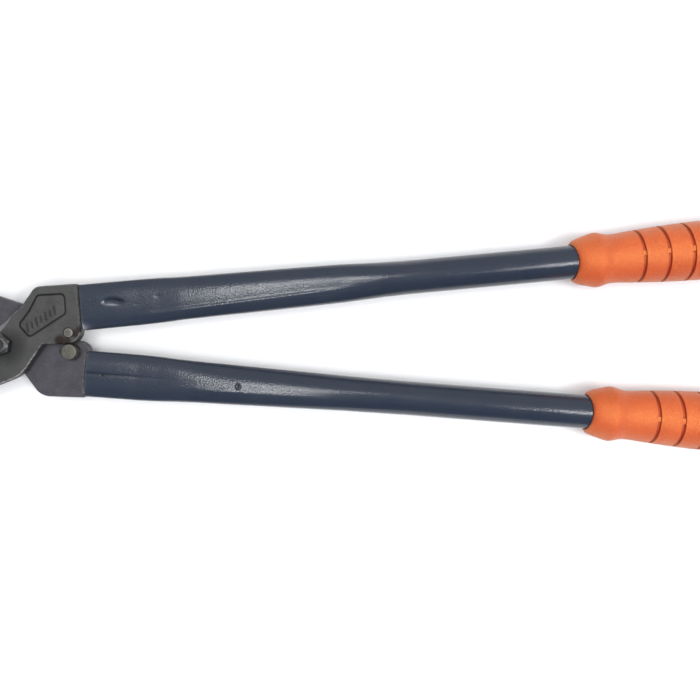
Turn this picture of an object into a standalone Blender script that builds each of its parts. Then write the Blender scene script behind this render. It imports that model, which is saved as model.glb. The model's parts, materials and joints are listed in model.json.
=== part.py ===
"""Two-handed cable cutter: two hooked shear blades on one pivot, tube handles and ribbed grips.

The cutter lies flat and closed: +X runs from the head to the grips, +Z is up, the floor is z = 0.
Sizes are millimetres, turned into metres where meshes are made. Blade outlines are measured from
the pivot axis. A height written as "level" is measured from the plane where the blades meet.
The front blade lies above that plane and holds the upper handle, the one at +Y.
"""

import math
from collections import namedtuple

import bmesh
import bpy
import numpy as np
from mathutils import Matrix, Vector

MM = 0.001
CLEARANCE = 0.3
CUT_MARGIN = 2.0
ARC_STEP = math.radians(9)

# Pivot: it stands so that the bolt's end and both grips touch the floor.
GRIP_RADIUS = 20.5
PIVOT = Vector((-238.0, -6.6, GRIP_RADIUS))
BOLT_RADIUS = 4.0
BUSHING_RADIUS = 6.0
HEX_ACROSS_FLATS = 13.2
HEX_TURN = math.radians(20.5)
BOLT_HEAD_HEIGHT = 6.0
HEAD_CROWN_RISE = 4.0
BOLT_END_CHAMFER = 0.8
WASHER_RADIUS = 8.5
WASHER_THICKNESS = 1.6
NUT_HEIGHT = 7.5
LOCK_RING_RADIUS = 5.0
LOCK_RING_HEIGHT = 2.0

# Blades
BLADE_THICKNESS = 8.0
EDGE_RADIUS = 19.0
EDGE_LAND = 0.8
BEVEL_WIDTH = 5.5
TANG_WIDTH = 22.0
TANG_THICKNESS = 6.4
TANG_INSERT = 46.0
TANG_ROOT = 4.0
PANEL_DEPTH = 0.6

# Stop pins: a thick body in the other blade's layer and a riveted tenon through its own blade.
STOP_BODY_RADIUS = 5.25
STOP_TENON_RADIUS = 3.15
STOP_BODY_LENGTH = 7.6

# Handle tubes: round at the grip, pressed flat over the tang.
TUBE_RADIUS = 11.8
TUBE_WALL = 1.5
FLAT_HALF_WIDTH = 16.1
FLAT_HALF_HEIGHT = 5.5
FLAT_SQUARENESS = 4.0

# Grips
GRIP_LENGTH = 138.0
GRIP_BORE_DEPTH = 129.0
GROOVE_FIRST = 45.0
GROOVE_PITCH = 16.3
GROOVE_COUNT = 5
GROOVE_WIDTH = 2.4
GROOVE_DEPTH = 1.6
CREST_DISTANCE = 98.0
CREST_FALL = 2.0
CREST_FALL_LENGTH = 50.0

# An outline's corner is (x, y, rounding radius). Both lists run anticlockwise.
FRONT_OUTLINE = [
    (54.1, 12.0, 0), (51.3, 42.3, 1.0), (22.3, 40.3, 7), (12.0, 25.0, 12), (-5.1, 13.0, 0),
    (-33.2, 37.6, 0.6), (-45.5, 24.5, 18), (-50.0, 2.0, 30), (-39.5, -24.0, 16),
    (-17.5, -32.9, 12), (12.9, -21.1, 25), (27.6, 0.7, 3), (54.5, 1.0, 9.5),
]
REAR_OUTLINE = [
    (57.3, -6.5, 0), (57.3, 2.8, 8), (29.0, 2.8, 3), (17.0, 26.3, 18), (-13.0, 36.3, 12),
    (-58.0, 15.5, 20), (-69.5, -4.0, 17), (-57.5, -25.0, 7), (-45.9, -22.5, 1),
    (-9.0, -14.5, 0), (9.5, -17.0, 6), (23.4, -35.8, 13), (54.9, -36.9, 2.5),
]
PANEL_OUTLINE = [
    (11.2, 13.6, 3), (18.6, 5.2, 3), (43.6, 21.6, 3), (42.6, 35.2, 3), (24.0, 34.2, 3),
    (18.4, 23.4, 8),
]

# (distance from the mouth, half width): the press left each tube a little different.
UPPER_WIDTHS = [
    (0, 16.1), (41, 15.9), (55, 15.6), (69, 15.0), (97, 14.6), (125, 14.3), (154, 13.9),
    (182, 13.4), (196, 12.8), (210, 12.2), (226, 11.8),
]
LOWER_WIDTHS = [
    (0, 16.1), (36, 16.0), (50, 15.6), (64, 14.9), (78, 14.4), (92, 14.1), (120, 13.5),
    (149, 12.9), (177, 12.3), (205, 12.0), (226, 11.8),
]

# side is +1 for the blade above the meeting plane and -1 for the one below it.
# edge is the centre of the round cutting edge, stop the centre of the blade's own stop pin.
Blade = namedtuple("Blade", "name side outline edge stop")
FRONT = Blade("front", 1, FRONT_OUTLINE, (-16.7, 28.1), (45.6, 8.4))
REAR = Blade("rear", -1, REAR_OUTLINE, (-27.1, -18.3), (45.5, -4.8))

# A handle's axis passes the pivot at this offset; mouth and grip are distances along the axis.
Handle = namedtuple("Handle", "name angle offset mouth grip widths blade")
UPPER = Handle("upper", math.radians(5.3), 21.2, 55.4, 398.0, UPPER_WIDTHS, FRONT)
LOWER = Handle("lower", math.radians(-4.4), -15.6, 58.0, 406.5, LOWER_WIDTHS, REAR)

COLOURS = {
    "blade_steel": ((0.105, 0.105, 0.102), 0.5, 0.9),
    "pin_steel": ((0.30, 0.29, 0.27), 0.4, 0.9),
    "fastener_steel": ((0.16, 0.16, 0.16), 0.4, 0.9),
    "tube_paint": ((0.045, 0.055, 0.072), 0.35, 0.0),
    "grip_vinyl": ((0.84, 0.17, 0.055), 0.55, 0.0),
    "lock_nylon": ((0.55, 0.6, 0.7), 0.5, 0.0),
}


def clear_scene():
    for obj in list(bpy.data.objects):
        bpy.data.objects.remove(obj, do_unlink=True)


def make_material(name):
    colour, roughness, metallic = COLOURS[name]
    material = bpy.data.materials.new(name)
    material.use_nodes = True
    shader = material.node_tree.nodes["Principled BSDF"]
    shader.inputs["Base Color"].default_value = (*colour, 1.0)
    shader.inputs["Roughness"].default_value = roughness
    shader.inputs["Metallic"].default_value = metallic
    return material


def make_collection(name):
    collection = bpy.data.collections.new(name)
    bpy.context.scene.collection.children.link(collection)
    return collection


def fillet(corner, before, after):
    """The points of one rounded corner."""
    x, y, radius = corner
    point = Vector((x, y))
    if radius == 0:
        return [point]
    to_before = (Vector(before[:2]) - point).normalized()
    to_after = (Vector(after[:2]) - point).normalized()
    half = to_before.angle(to_after) / 2
    centre = point + (to_before + to_after).normalized() * (radius / math.sin(half))
    start = point + to_before * (radius / math.tan(half)) - centre
    end = point + to_after * (radius / math.tan(half)) - centre
    sweep = math.atan2(start.x * end.y - start.y * end.x, start.dot(end))
    steps = max(1, math.ceil(abs(sweep) / ARC_STEP))
    return [centre + Matrix.Rotation(sweep * i / steps, 2) @ start for i in range(steps + 1)]


def rounded_outline(corners):
    points = []
    for index, corner in enumerate(corners):
        points += fillet(corner, corners[index - 1], corners[(index + 1) % len(corners)])
    return points


def new_object(name, mesh, collection, parent=None, material=None):
    obj = bpy.data.objects.new(name, mesh)
    collection.objects.link(obj)
    obj.parent = parent
    if material:
        mesh.materials.append(material)
    return obj


def mesh_from_bmesh(name, shape):
    bmesh.ops.recalc_face_normals(shape, faces=shape.faces)
    mesh = bpy.data.meshes.new(name)
    shape.to_mesh(mesh)
    shape.free()
    return mesh


def plate_mesh(name, points, low, high):
    """A flat plate from a filled 2D curve, between two levels."""
    curve = bpy.data.curves.new(name, "CURVE")
    curve.dimensions = "2D"
    curve.fill_mode = "BOTH"
    curve.extrude = (high - low) / 2 * MM
    spline = curve.splines.new("POLY")
    spline.points.add(len(points) - 1)
    spline.use_cyclic_u = True
    for point, place in zip(spline.points, points):
        point.co = (place.x * MM, place.y * MM, 0, 1)
    guide = bpy.data.objects.new(name + "_curve", curve)
    bpy.context.scene.collection.objects.link(guide)
    bpy.context.view_layer.update()
    mesh = bpy.data.meshes.new_from_object(guide.evaluated_get(bpy.context.evaluated_depsgraph_get()))
    bpy.data.objects.remove(guide, do_unlink=True)
    shape = bmesh.new()
    shape.from_mesh(mesh)
    bpy.data.meshes.remove(mesh)
    bmesh.ops.remove_doubles(shape, verts=shape.verts, dist=0.01 * MM)
    bmesh.ops.translate(shape, verts=shape.verts, vec=(0, 0, (low + high) / 2 * MM))
    return mesh_from_bmesh(name, shape)


def cone_mesh(name, low, high, radius_low, radius_high, segments=36):
    """A cylinder or cone frustum on the local Z axis."""
    shape = bmesh.new()
    bmesh.ops.create_cone(
        shape, cap_ends=True, segments=segments, depth=(high - low) * MM,
        radius1=radius_low * MM, radius2=radius_high * MM,
        matrix=Matrix.Translation((0, 0, (low + high) / 2 * MM)),
    )
    return mesh_from_bmesh(name, shape)


def turned_object(name, profile, collection, parent, material, steps=24):
    """A solid turned about Z from (radius, level) points that run down its outer side."""
    mesh = bpy.data.meshes.new(name)
    vertices = [(radius * MM, 0, level * MM) for radius, level in profile]
    mesh.from_pydata(vertices, [(i, i + 1) for i in range(len(vertices) - 1)], [])
    obj = new_object(name, mesh, collection, parent, material)
    screw = obj.modifiers.new("turn", "SCREW")
    screw.steps = screw.render_steps = steps
    screw.use_merge_vertices = True
    screw.merge_threshold = 0.00001
    return obj


def ring_profile(inner, outer, low, high):
    """A closed washer-like section, down the outer side and up the bore."""
    return [(inner, high), (outer, high), (outer, low), (inner, low), (inner, high)]


def combine(target, tool, operation):
    boolean = target.modifiers.new(tool.name, "BOOLEAN")
    boolean.operation = operation
    boolean.solver = "EXACT"
    boolean.object = tool


def add_tool(name, mesh, tools, parent, place=(0, 0), angle=0.0):
    tool = new_object(name, mesh, tools, parent)
    tool.location = (place[0] * MM, place[1] * MM, 0)
    tool.rotation_euler.z = angle
    tool.hide_render = True
    tool.display_type = "WIRE"
    return tool


def side_levels(side, near, far):
    """A pair of distances from the meeting plane, as low and high levels on that side."""
    return (near, far) if side > 0 else (-far, -near)


def along_handle(handle, distance, across=0.0):
    """A point beside the handle's axis, from the pivot."""
    axis = Vector((math.cos(handle.angle), math.sin(handle.angle)))
    normal = Vector((-axis.y, axis.x))
    return axis * distance + normal * (handle.offset + across)


def build_blade(handle, parts, tools, parent, material):
    blade = handle.blade
    gap = CLEARANCE / 2
    low, high = side_levels(blade.side, gap, gap + BLADE_THICKNESS)
    name = blade.name + "_blade"
    plate = plate_mesh(name, rounded_outline(blade.outline), low, high)
    obj = new_object(name, plate, parts, parent, material)

    root = handle.mouth - TANG_ROOT
    half_width = TANG_WIDTH / 2
    tang_end = handle.mouth + TANG_INSERT
    corners = [
        (root, -half_width, 0), (tang_end, -half_width, 4),
        (tang_end, half_width, 4), (root, half_width, 0),
    ]
    tang = plate_mesh(name + "_tang", rounded_outline(corners), -TANG_THICKNESS / 2, TANG_THICKNESS / 2)
    tang_tool = add_tool(name + "_tang", tang, tools, parent, along_handle(handle, 0), handle.angle)
    combine(obj, tang_tool, "UNION")

    reach = gap + BLADE_THICKNESS + CUT_MARGIN
    slope = BEVEL_WIDTH / (BLADE_THICKNESS - EDGE_LAND)
    wide = EDGE_RADIUS + slope * (reach - gap - EDGE_LAND)
    cone_low, cone_high = side_levels(blade.side, gap + EDGE_LAND, reach)
    radii = (EDGE_RADIUS, wide) if blade.side > 0 else (wide, EDGE_RADIUS)
    bevel = cone_mesh(name + "_bevel", cone_low, cone_high, *radii, segments=48)
    combine(obj, add_tool(name + "_bevel", bevel, tools, parent, blade.edge), "DIFFERENCE")
    edge = cone_mesh(name + "_edge", -reach, reach, EDGE_RADIUS, EDGE_RADIUS, segments=48)
    combine(obj, add_tool(name + "_edge", edge, tools, parent, blade.edge), "DIFFERENCE")

    bore_radius = BUSHING_RADIUS + CLEARANCE
    bore = cone_mesh(name + "_bore", -reach, reach, bore_radius, bore_radius)
    combine(obj, add_tool(name + "_bore", bore, tools, parent), "DIFFERENCE")
    tenon_radius = STOP_TENON_RADIUS + CLEARANCE
    hole = cone_mesh(name + "_pin_hole", -reach, reach, tenon_radius, tenon_radius, segments=24)
    combine(obj, add_tool(name + "_pin_hole", hole, tools, parent, blade.stop), "DIFFERENCE")
    return obj


def engrave_panel(blade_object, tools, parent):
    """The shallow recessed panel on the front blade's shank."""
    face = CLEARANCE / 2 + BLADE_THICKNESS
    panel = plate_mesh("panel", rounded_outline(PANEL_OUTLINE), face - PANEL_DEPTH, face + CUT_MARGIN)
    combine(blade_object, add_tool("panel", panel, tools, parent), "DIFFERENCE")


def build_stop_pin(blade, parts, parent, material):
    """Body in the other blade's layer, tenon through this blade with a slightly proud end."""
    gap = CLEARANCE / 2
    face = gap + BLADE_THICKNESS
    outer = [
        (0, face + 0.5), (STOP_TENON_RADIUS - 0.8, face + 0.5), (STOP_TENON_RADIUS, face),
        (STOP_TENON_RADIUS, -gap), (STOP_BODY_RADIUS, -gap),
        (STOP_BODY_RADIUS, -STOP_BODY_LENGTH + 0.6), (STOP_BODY_RADIUS - 0.6, -STOP_BODY_LENGTH),
        (0, -STOP_BODY_LENGTH),
    ]
    profile = outer if blade.side > 0 else [(radius, -level) for radius, level in reversed(outer)]
    pin = turned_object(blade.name + "_stop_pin", profile, parts, parent, material)
    pin.location = (blade.stop[0] * MM, blade.stop[1] * MM, 0)
    return pin


def hexagon(across_flats):
    corner = across_flats / math.sqrt(3)
    turns = [HEX_TURN + math.radians(60 * i) for i in range(6)]
    return [Vector((math.cos(turn), math.sin(turn))) * corner for turn in turns]


def build_pivot(parts, tools, parent, materials):
    steel = materials["fastener_steel"]
    face = CLEARANCE / 2 + BLADE_THICKNESS
    head_low = face + CLEARANCE
    head_high = head_low + BOLT_HEAD_HEIGHT
    floor = -GRIP_RADIUS
    corner = HEX_ACROSS_FLATS / math.sqrt(3)

    head = plate_mesh("pivot_bolt", hexagon(HEX_ACROSS_FLATS), head_low, head_high)
    bolt = new_object("pivot_bolt", head, parts, parent, steel)
    crown_low = head_high - HEAD_CROWN_RISE
    crown = cone_mesh("bolt_crown", crown_low, head_high + 0.01, corner + 2.2, corner - 1.3)
    combine(bolt, add_tool("bolt_crown", crown, tools, parent), "INTERSECT")
    shank_profile = [
        (0, head_low + 2), (BOLT_RADIUS, head_low + 2), (BOLT_RADIUS, floor + BOLT_END_CHAMFER),
        (BOLT_RADIUS - BOLT_END_CHAMFER, floor), (0, floor),
    ]
    base = plate_mesh("bolt_base", hexagon(HEX_ACROSS_FLATS), head_low, head_high - 2.0)
    combine(bolt, add_tool("bolt_base", base, tools, parent), "UNION")
    shank = turned_object("bolt_shank", shank_profile, tools, parent, steel)
    shank.hide_render = True
    shank.display_type = "WIRE"
    combine(bolt, shank, "UNION")

    bore = BOLT_RADIUS + CLEARANCE
    turned_object(
        "pivot_bushing", ring_profile(bore, BUSHING_RADIUS, -face, face), parts, parent, steel)
    washer_high = -face - CLEARANCE
    washer_low = washer_high - WASHER_THICKNESS
    turned_object(
        "nut_washer", ring_profile(bore, WASHER_RADIUS, washer_low, washer_high), parts, parent, steel)

    nut_high = washer_low - CLEARANCE
    nut_low = nut_high - NUT_HEIGHT
    nut = new_object(
        "lock_nut", plate_mesh("lock_nut", hexagon(HEX_ACROSS_FLATS), nut_low, nut_high),
        parts, parent, steel)
    through = cone_mesh("nut_bore", nut_low - CUT_MARGIN, nut_high + CUT_MARGIN, bore, bore)
    combine(nut, add_tool("nut_bore", through, tools, parent), "DIFFERENCE")
    ring_high = nut_low + LOCK_RING_HEIGHT
    seat_radius = LOCK_RING_RADIUS + CLEARANCE
    seat = cone_mesh(
        "ring_seat", nut_low - CUT_MARGIN, ring_high + CLEARANCE, seat_radius, seat_radius)
    combine(nut, add_tool("ring_seat", seat, tools, parent), "DIFFERENCE")
    turned_object(
        "nut_lock_ring", ring_profile(bore, LOCK_RING_RADIUS, nut_low, ring_high),
        parts, parent, materials["lock_nylon"])


def tube_section(handle, distance, inset, count=28):
    """One ring of the tube wall: a squarish flat oval that turns into a circle."""
    stations, widths = zip(*handle.widths)
    half_width = float(np.interp(distance, stations, widths))
    flat = (half_width - TUBE_RADIUS) / (FLAT_HALF_WIDTH - TUBE_RADIUS)
    half_height = TUBE_RADIUS + (FLAT_HALF_HEIGHT - TUBE_RADIUS) * flat
    power = 2 / (2 + (FLAT_SQUARENESS - 2) * flat)
    ring = []
    for index in range(count):
        turn = 2 * math.pi * index / count
        across = math.copysign(abs(math.cos(turn)) ** power, math.cos(turn)) * (half_width - inset)
        up = math.copysign(abs(math.sin(turn)) ** power, math.sin(turn)) * (half_height - inset)
        ring.append((distance * MM, across * MM, up * MM))
    return ring


def build_tube(handle, parts, parent, material):
    """A tube lofted between unlike sections, with its wall and both open ends."""
    length = handle.grip + GRIP_BORE_DEPTH - handle.mouth - 1.0
    stations = [distance for distance, half_width in handle.widths] + [length]
    shape = bmesh.new()
    loops = [tube_section(handle, station, 0.0) for station in stations]
    loops += [tube_section(handle, station, TUBE_WALL) for station in reversed(stations)]
    rings = [[shape.verts.new(place) for place in loop] for loop in loops]
    for first, second in zip(rings, rings[1:] + rings[:1]):
        for index in range(len(first)):
            following = (index + 1) % len(first)
            shape.faces.new((first[index], first[following], second[following], second[index]))
    name = handle.name + "_handle_tube"
    tube = new_object(name, mesh_from_bmesh(name, shape), parts, parent, material)
    place = along_handle(handle, handle.mouth)
    tube.location = (place.x * MM, place.y * MM, 0)
    tube.rotation_euler.z = handle.angle
    return tube


def grip_side():
    """The grip's outer side from its closed end to its mouth, as (radius, distance from mouth)."""
    end = GRIP_LENGTH
    end_to_ribs = [(0, end), (14, end), (17.5, end - 1.4), (19.6, end - 5), (19.6, end - 9),
                   (18.8, end - 14)]
    neck_to_mouth = [(18.1, 42), (17.3, 34.5), (17.0, 30), (17.0, 27), (18.2, 21), (18.9, 18.5),
                     (19.15, 17), (19.0, 16), (17.1, 9.4), (15.5, 3.8), (14.4, 1.8), (13.4, 0.6), (12.9, 0)]
    ribs = []
    for index in reversed(range(GROOVE_COUNT)):
        middle = GROOVE_FIRST + GROOVE_PITCH * index
        from_crest = (middle - CREST_DISTANCE) / CREST_FALL_LENGTH
        swell = GRIP_RADIUS - CREST_FALL * from_crest ** 2
        top = middle + GROOVE_WIDTH / 2
        bottom = middle - GROOVE_WIDTH / 2
        ribs += [(swell, top), (swell - GROOVE_DEPTH, top), (swell - GROOVE_DEPTH, bottom), (swell, bottom)]
    crest_rib = GROOVE_FIRST + GROOVE_PITCH * 3.5
    return end_to_ribs + [(GRIP_RADIUS, crest_rib)] + ribs + neck_to_mouth


def build_grip(handle, parts, parent, material):
    bore = TUBE_RADIUS + CLEARANCE
    side = sorted(grip_side(), key=lambda point: -point[1])
    profile = side + [(bore, 0), (bore, GRIP_BORE_DEPTH), (0, GRIP_BORE_DEPTH)]
    grip = turned_object(handle.name + "_grip", profile, parts, parent, material, steps=28)
    place = along_handle(handle, handle.grip)
    grip.location = (place.x * MM, place.y * MM, 0)
    grip.rotation_euler = (0, math.pi / 2, handle.angle)
    return grip


def build_cutter():
    clear_scene()
    parts = make_collection("cable_cutter")
    tools = make_collection("cutters")
    materials = {name: make_material(name) for name in COLOURS}
    for handle in (UPPER, LOWER):
        pivot = bpy.data.objects.new(handle.name + "_side", None)
        parts.objects.link(pivot)
        pivot.location = PIVOT * MM
        blade = build_blade(handle, parts, tools, pivot, materials["blade_steel"])
        build_stop_pin(handle.blade, parts, pivot, materials["pin_steel"])
        build_tube(handle, parts, pivot, materials["tube_paint"])
        build_grip(handle, parts, pivot, materials["grip_vinyl"])
        if handle is UPPER:
            engrave_panel(blade, tools, pivot)
            build_pivot(parts, tools, pivot, materials)
    for obj in parts.objects:
        if obj.type == "MESH":
            obj.data.shade_smooth()
            obj.data.set_sharp_from_angle(angle=math.radians(30))


build_cutter()
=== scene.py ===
"""Looks for the two-handed cable cutter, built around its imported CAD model.

Sizes in the constants are millimetres, and meshes are made in metres. Blade outlines are measured
from the pivot axis. A blade's "height" is measured from the plane where the blades meet, outwards
into that blade, so the front blade's heights point up and the rear blade's point down.
"""

import json
import math
from collections import namedtuple

import bmesh
import bpy
import numpy as np
from mathutils import Matrix, Vector, noise
from mathutils.geometry import delaunay_2d_cdt


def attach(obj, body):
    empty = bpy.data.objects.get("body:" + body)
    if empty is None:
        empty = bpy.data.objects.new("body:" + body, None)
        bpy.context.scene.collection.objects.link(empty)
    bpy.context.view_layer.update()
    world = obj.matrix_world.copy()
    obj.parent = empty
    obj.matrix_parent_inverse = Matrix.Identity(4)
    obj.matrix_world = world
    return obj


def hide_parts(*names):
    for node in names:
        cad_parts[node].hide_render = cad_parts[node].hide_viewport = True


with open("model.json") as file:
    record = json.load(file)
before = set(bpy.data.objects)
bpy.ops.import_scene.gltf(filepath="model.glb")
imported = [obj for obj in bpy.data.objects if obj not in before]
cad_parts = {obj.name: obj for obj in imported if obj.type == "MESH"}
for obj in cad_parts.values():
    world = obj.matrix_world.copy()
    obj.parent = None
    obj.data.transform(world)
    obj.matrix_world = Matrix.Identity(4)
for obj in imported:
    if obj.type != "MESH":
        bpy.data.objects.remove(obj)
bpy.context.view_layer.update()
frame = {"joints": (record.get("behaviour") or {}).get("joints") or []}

MM = 0.001
PIVOT = Vector(frame["joints"][0]["pos_m"])
ARC_STEP = math.radians(4)
SHARP_ANGLE = math.radians(38)

# Blades
MEETING_GAP = 0.15
MESH_SPACING = 0.17
BLADE_FACE = 8.15
BORE_RADIUS = 6.3
EDGE_RADIUS = 19.0
EDGE_LAND = 0.8
BEVEL_WIDTH = 5.5
RIM_ROUNDING = 0.9
TANG_HALF_WIDTH = 11.0
TANG_HALF_THICKNESS = 3.2
TANG_INSERT = 46.0
RAMP_LENGTH = 2.6
RAMP_HALF_WIDTH = 15.4
RAMP_DROP = 1.2
PANEL_DEPTH = 0.3
PANEL_LINE_DEPTH = 0.7
BAR_DEPTH = 0.4
BAR_HALF_WIDTH = 0.5

# Stop pins, bolt and nut
TENON_RADIUS = 3.15
PIN_HOLE_RADIUS = TENON_RADIUS + 0.12
STOP_BODY_RADIUS = 5.25
STOP_BODY_END = -7.6
HEX_FLATS = 13.2
HEX_CORNER = HEX_FLATS / math.sqrt(3)
HEX_STEPS = 72
HEAD_TURN = math.radians(20.5)
NUT_TURN = math.radians(37.5)
HEAD_GAP = 0.3
HEAD_HEIGHT = 6.0
SHANK_RADIUS = 4.0
SHANK_END = -20.5
BUSHING_RADIUS = 6.0
BUSHING_HALF_HEIGHT = 8.0
CLEAR_BORE = 4.3
WASHER_RADIUS = 8.5
WASHER_THICKNESS = 1.6
NUT_GAP = 0.3
NUT_HEIGHT = 7.5

# Tubes
TUBE_RADIUS = 11.8
TUBE_WALL = 1.5
MOUTH_START = -0.42
FLAT_HALF_WIDTH = 16.1
FLAT_HALF_HEIGHT = 5.5
FLAT_SQUARENESS = 3.2
GRIP_BORE_DEPTH = 129.0
TUBE_SIDES = 160
RIM_CHAMFER = 0.35
DENT_TURN = math.radians(-9)
DENT_PLACE = (23.0, 1.6)
NICK_PLACES = [((53.5, 2.6), (1.0, 1.6)), ((38.0, -1.4), (0.8, 0.8))]
FOLD_ACROSS = 0.5
DOT_PLACE = (11.5, -0.3)
RING_PLACE = (106.5, -0.6)
RING_RADIUS = 1.5

# Grips
GRIP_LENGTH = 138.0
GRIP_BORE = TUBE_RADIUS + 0.15
MOUTH_HOLLOW = 1.9
MOUTH_REACH = 9.0
GROOVE_FIRST = 45.0
GROOVE_PITCH = 16.3
GROOVE_BEND = 0.45
GROOVE_COUNT = 5
GROOVE_WIDTH = 2.2
GROOVE_DEPTH = 1.5
TAB_HALF_LENGTH = 1.1
TAB_OFFSET = 0.55
TAB_HALF_TURN = 0.105
TAB_RISE = 0.3
GRIP_SIDES = 144

# Colours: two shades where the surface drifts between them
OXIDE_FRONT = [(0.050, 0.050, 0.048), (0.073, 0.073, 0.070)]
OXIDE_REAR = [(0.053, 0.0505, 0.058), (0.080, 0.076, 0.087)]
# Dark seam colour, also used as painted shade in the blade's hollows
SEAM_AND_SHADE = (0.012, 0.011, 0.010)
# Grime colour, which also paints the bolt head's soft shadow round the hub
GRIME_AND_SHADOW = (0.016, 0.016, 0.017)
RUST = (0.022, 0.014, 0.012)
# Worn oxide, also used for painted highlights on edges and the ramp
WORN_OXIDE_AND_HIGHLIGHT = (0.33, 0.31, 0.29)
GROUND_STEEL = (0.42, 0.41, 0.40)
PIN_STEEL = [(0.055, 0.053, 0.042), (0.10, 0.095, 0.075)]
FASTENER_STEEL = [(0.036, 0.037, 0.040), (0.06, 0.06, 0.064)]
WORN_STEEL = (0.5, 0.49, 0.46)
PAINT = [(0.0165, 0.0225, 0.036), (0.0195, 0.0255, 0.039)]
PAINT_STREAK = (0.05, 0.055, 0.065)
PAINT_SCUFF = (0.10, 0.10, 0.11)
# Worn paint, also used for painted highlights on the tube
PAINT_WORN_AND_HIGHLIGHT = (0.34, 0.35, 0.38)
PAINT_SHADE = (0.006, 0.007, 0.010)
VINYL = [(0.43, 0.059, 0.022), (0.485, 0.069, 0.026)]
# Lighter yellow specks in the vinyl's grain: painted glints
VINYL_SAND_GLINT = (0.60, 0.150, 0.032)
# Painted shade in the grip's grooves and bore
VINYL_GROOVE_SHADE = (0.29, 0.024, 0.013)
VINYL_GLOSS = (1.0, 0.66, 0.22, 1.0)
NYLON = [(0.45, 0.5, 0.6), (0.6, 0.65, 0.74)]
FLOOR_HALF_SIZE = 6.0
FLOOR = [(0.73, 0.73, 0.74), (0.75, 0.75, 0.75)]
ROOM_STRENGTH = 0.62
ROOM_DIM = (0.18, 0.22, 0.32)
ROOM_PALE = (0.95, 0.97, 1.0)

# Where the grime with the bolt head's painted shadow and the rust lie on a blade: place and
# reach, in metres from the pivot
GRIME_AND_SHADOW_SPOT = ((0.003, -0.002, 0.0081), 0.0175)
RUST_FRONT = [
    ((0.0400, 0.0030, 0.008), 0.0056), ((0.0445, 0.0025, 0.008), 0.0042),
    ((0.0500, 0.0078, 0.008), 0.0038), ((0.0532, 0.0105, 0.008), 0.0034),
]
RUST_REAR = [((0.0385, -0.0045, 0), 0.0030)]

# Corners of an outline: x, y and the radius that rounds it
FRONT_OUTLINE = [
    (54.1, 12.0, 0), (51.3, 42.3, 1.0), (22.3, 40.3, 7), (12.0, 25.0, 12), (-5.1, 13.0, 0),
    (-33.2, 37.6, 0.6), (-45.5, 24.5, 18), (-50.0, 2.0, 30), (-39.5, -24.0, 16),
    (-17.5, -32.9, 12), (12.9, -21.1, 25), (27.6, 0.7, 3), (54.5, 1.0, 9.5),
]
REAR_OUTLINE = [
    (57.3, -6.5, 0), (57.3, 2.8, 8), (29.0, 2.8, 3), (17.0, 26.3, 18), (-13.0, 36.3, 12),
    (-58.0, 15.5, 20), (-69.5, -4.0, 17), (-57.5, -25.0, 7), (-45.9, -22.5, 1),
    (-9.0, -14.5, 0), (9.5, -17.0, 6), (23.4, -35.8, 13), (54.9, -36.9, 2.5),
]
PANEL_OUTLINE = [
    (11.2, 13.6, 3), (18.6, 5.2, 3), (43.6, 21.6, 3), (42.6, 35.2, 3), (24.0, 34.2, 3),
    (18.4, 23.4, 8),
]

# Half widths of a tube at distances from its mouth: the press left each one a little different.
UPPER_WIDTHS = [
    (0, 16.1), (41, 15.9), (55, 15.6), (69, 15.0), (97, 14.6), (125, 14.3), (154, 13.9),
    (182, 13.4), (196, 12.8), (210, 12.2), (226, 11.8),
]
LOWER_WIDTHS = [
    (0, 16.1), (36, 16.0), (50, 15.6), (64, 14.9), (78, 14.4), (92, 14.1), (120, 13.5),
    (149, 12.9), (177, 12.3), (205, 12.0), (226, 11.8),
]

# Half profile of a grip: distance from its mouth and radius
GRIP_PROFILE = [
    (0.0, 12.5), (0.3, 13.3), (1.0, 14.2), (2.2, 15.0), (4.0, 15.8), (6.5, 16.6), (9.5, 17.4),
    (12.5, 18.3), (15.0, 18.95), (16.5, 19.15), (17.6, 19.0), (20.0, 18.4), (23.0, 17.5),
    (26.0, 17.05), (29.5, 17.0), (33.0, 17.2), (38.0, 17.7), (44.0, 18.2), (52.0, 18.8),
    (60.0, 19.35), (72.0, 19.95), (86.0, 20.4), (98.0, 20.5), (110.0, 20.2), (118.0, 19.6),
    (124.0, 18.9), (128.0, 19.3), (131.5, 19.7), (134.5, 19.3), (136.8, 17.8), (138.0, 15.5),
]

# A blade's edge is the centre of its bite, and its drop is how far its face bends at the mouth.
# A handle runs from the pivot at its angle, offset sideways, with its tube's mouth and its grip
# at those distances.
Blade = namedtuple("Blade", "name side outline edge stop drop")
Handle = namedtuple("Handle", "name body angle offset mouth grip widths blade")
FRONT = Blade("front", 1, FRONT_OUTLINE, (-16.7, 28.1), (45.6, 8.4), 1.2)
REAR = Blade("rear", -1, REAR_OUTLINE, (-27.1, -18.3), (45.5, -4.8), 0.7)
UPPER = Handle(
    "upper", "upper_side", math.radians(5.3), 21.2, 55.4, 398.0, UPPER_WIDTHS, FRONT)
LOWER = Handle(
    "lower", "lower_side", math.radians(-4.4), -15.6, 58.0, 406.5, LOWER_WIDTHS, REAR)


# ---- outlines

def smooth(value):
    """A soft step from 0 to 1."""
    value = np.clip(value, 0.0, 1.0)
    return value * value * (3 - 2 * value)


def bell(value, width):
    """1 where the value is 0, falling to 0 within a few widths."""
    return np.exp(-(value / width) ** 2)


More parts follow.
